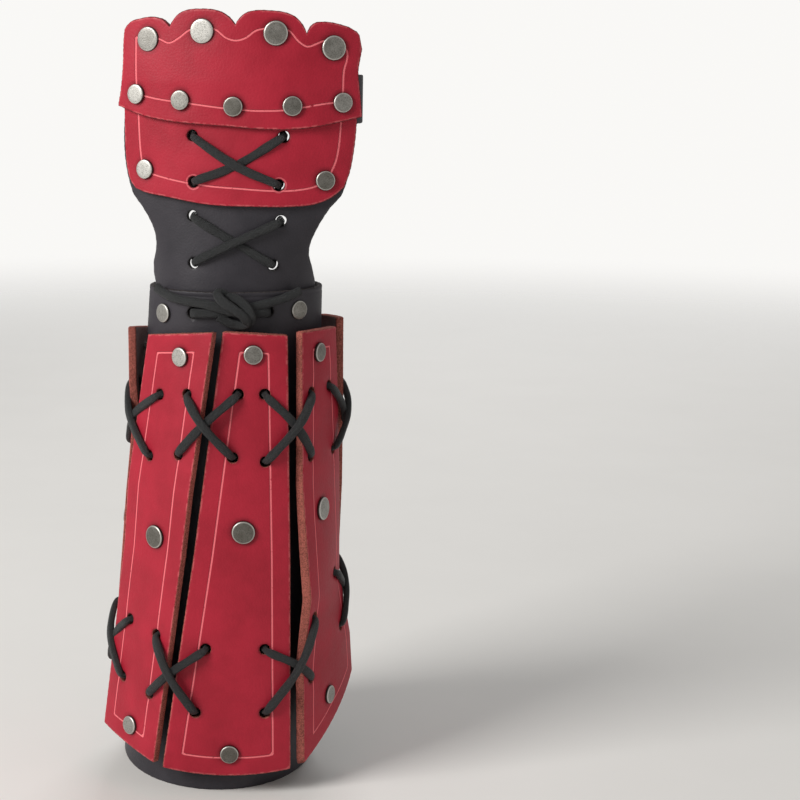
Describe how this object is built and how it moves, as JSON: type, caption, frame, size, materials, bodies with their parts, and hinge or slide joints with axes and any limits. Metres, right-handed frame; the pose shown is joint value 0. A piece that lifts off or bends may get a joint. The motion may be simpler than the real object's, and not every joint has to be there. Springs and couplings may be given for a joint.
{
  "type": "leather vambrace",
  "caption": "Left leather vambrace: red splints laced over a black forearm sleeve, with a plated guard for the back of the hand that bends at the wrist.",
  "frame": {"origin": "under the middle of the whole part, on the surface that the elbow end stands on", "axes": "+X to the right as the back of the arm is seen from outside, +Y from the back of the hand towards the palm, +Z from the elbow to the knuckles"},
  "size_m": [0.1412, 0.1464, 0.3881],
  "materials": {
    "red_leather": "satin, hand dyed crimson, with cut lines along the edges",
    "black_leather": "satin, fine grain",
    "lace_leather": "matt suede",
    "rivet_metal": "antique nickel plate, worn bright at the rim"
  },
  "bodies": {
    "forearm": {"guard_root": "black_leather", "lower_lace_far_left": "lace_leather", "lower_lace_far_right": "lace_leather", "lower_lace_left": "lace_leather", "lower_lace_right": "lace_leather", "rear_lace": "lace_leather", "sleeve": "black_leather", "splint_end_rivets": "rivet_metal", "splint_far_left": "red_leather", "splint_far_right": "red_leather", "splint_left": "red_leather", "splint_middle": "red_leather", "splint_middle_rivets": "rivet_metal", "splint_right": "red_leather", "upper_lace_far_left": "lace_leather", "upper_lace_far_right": "lace_leather", "upper_lace_left": "lace_leather", "upper_lace_right": "lace_leather", "wrist_rivets": "rivet_metal", "wrist_tie": "lace_leather"},
    "hand": {"guard_base": "black_leather", "guard_base_lace": "lace_leather", "hand_plate": "red_leather", "hand_plate_lace": "lace_leather", "hand_plate_rivets": "rivet_metal", "knuckle_foot_rivets": "rivet_metal", "knuckle_plate": "red_leather", "knuckle_top_rivets": "rivet_metal", "palm_strap": "black_leather"}
  },
  "joints": [
    {"name": "wrist_flex", "type": "hinge", "parent": "forearm", "child": "hand", "pos_m": [0.00372, -0.04752, 0.2555], "axis": [1, 0, 0], "range_deg": [-25, 40]}
  ]
}
